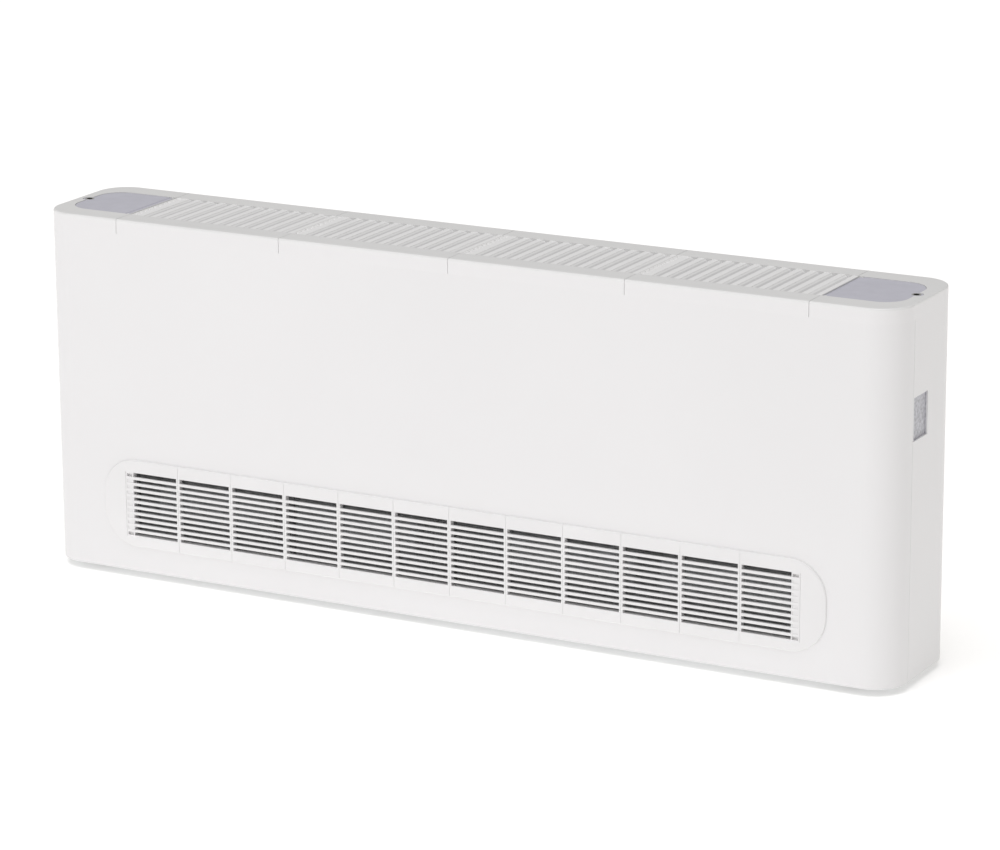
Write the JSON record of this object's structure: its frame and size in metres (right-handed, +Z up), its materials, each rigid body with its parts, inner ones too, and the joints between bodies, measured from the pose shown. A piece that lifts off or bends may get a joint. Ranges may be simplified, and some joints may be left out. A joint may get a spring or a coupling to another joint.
{
  "type": "fan convector heater",
  "caption": "Long low floor-standing fan convector with a slotted front intake, louvred top outlet, end access doors, coil, fans and controls.",
  "frame": {"origin": "middle of the footprint on the floor", "axes": "+X along the length, +Y to the back, +Z up"},
  "size_m": [1.24, 0.1854, 0.493],
  "materials": {
    "casing_white": "satin",
    "galvanised_sheet": "satin",
    "top_plastic": "satin",
    "intake_plastic": "satin",
    "door_plastic": "satin",
    "window_plate": "satin",
    "tray_plastic": "matte",
    "black_rubber": "matte",
    "steel": "satin",
    "filter_frame_plastic": "matte",
    "filter_mesh_fabric": "matte",
    "wheel_plastic": "matte",
    "motor_paint": "satin",
    "fin_aluminium": "satin",
    "copper": "satin",
    "brass": "satin",
    "panel_plastic": "satin",
    "knob_plastic": "satin",
    "switch_plastic": "matte"
  },
  "bodies": {
    "casing": {"air_vent": "brass", "back_plate": "galvanised_sheet", "base_pan": "galvanised_sheet", "cable_gland": "black_rubber", "chassis_end_left": "galvanised_sheet", "chassis_end_right": "galvanised_sheet", "coil_fins": "fin_aluminium", "coil_frame": "galvanised_sheet", "coil_headers": "brass", "control_box": "galvanised_sheet", "control_panel": "panel_plastic", "door_pin_left": "steel", "door_pin_right": "steel", "drip_tray": "tray_plastic", "fan_deck": "galvanised_sheet", "fan_motor": "motor_paint", "fan_scrolls": "galvanised_sheet", "feet": "black_rubber", "front_panel": "casing_white", "motor_cradle": "galvanised_sheet", "outlet_grille_1": "top_plastic", "outlet_grille_2": "top_plastic", "outlet_grille_3": "top_plastic", "outlet_grille_4": "top_plastic", "return_bends": "copper", "shaft_bearings": "steel", "side_panel_left": "casing_white", "side_panel_right": "casing_white", "side_window_plate": "window_plate", "speed_switch": "switch_plastic", "thermostat_switch": "switch_plastic", "top_end_left": "top_plastic", "top_end_right": "top_plastic"},
    "rotor": {"fan_shaft": "steel", "fan_wheel_1": "wheel_plastic", "fan_wheel_2": "wheel_plastic", "fan_wheel_3": "wheel_plastic", "fan_wheel_4": "wheel_plastic"},
    "intake": {"intake_section_01": "intake_plastic", "intake_section_02": "intake_plastic", "intake_section_03": "intake_plastic", "intake_section_04": "intake_plastic", "intake_section_05": "intake_plastic", "intake_section_06": "intake_plastic", "intake_section_07": "intake_plastic", "intake_section_08": "intake_plastic", "intake_section_09": "intake_plastic", "intake_section_10": "intake_plastic", "intake_section_11": "intake_plastic", "intake_section_12": "intake_plastic", "filter_frame": "filter_frame_plastic", "filter_mesh": "filter_mesh_fabric"},
    "door_left": {"access_door_left": "door_plastic"},
    "door_right": {"access_door_right": "door_plastic"},
    "latch_left": {"lock_left": "steel"},
    "latch_right": {"lock_right": "steel"},
    "speed_dial": {"speed_knob": "knob_plastic"},
    "thermostat_dial": {"thermostat_knob": "knob_plastic"}
  },
  "joints": [
    {"name": "rotor_spin", "type": "hinge", "parent": "casing", "child": "rotor", "pos_m": [0, 0.01075, 0.095], "axis": [1, 0, 0], "continuous": true},
    {"name": "intake_pull", "type": "slide", "parent": "casing", "child": "intake", "axis": [0, -1, 0], "range_m": [0, 0.04]},
    {"name": "door_left_hinge", "type": "hinge", "parent": "casing", "child": "door_left", "pos_m": [-0.505, 0.00125, 0.4896], "axis": [0, 1, 0], "range_deg": [0, 95]},
    {"name": "door_right_hinge", "type": "hinge", "parent": "casing", "child": "door_right", "pos_m": [0.505, 0.00125, 0.4896], "axis": [0, -1, 0], "range_deg": [0, 95]},
    {"name": "lock_left_turn", "type": "hinge", "parent": "door_left", "child": "latch_left", "pos_m": [-0.602, 0.00125, 0.49], "axis": [0, 0, 1], "range_deg": [0, 90]},
    {"name": "lock_right_turn", "type": "hinge", "parent": "door_right", "child": "latch_right", "pos_m": [0.602, 0.00125, 0.49], "axis": [0, 0, 1], "range_deg": [0, 90]},
    {"name": "speed_turn", "type": "hinge", "parent": "casing", "child": "speed_dial", "pos_m": [0.547, -0.02475, 0.43], "axis": [0, 0, -1], "range_deg": [0, 135]},
    {"name": "thermostat_turn", "type": "hinge", "parent": "casing", "child": "thermostat_dial", "pos_m": [0.547, 0.02725, 0.43], "axis": [0, 0, -1], "range_deg": [0, 270]}
  ]
}
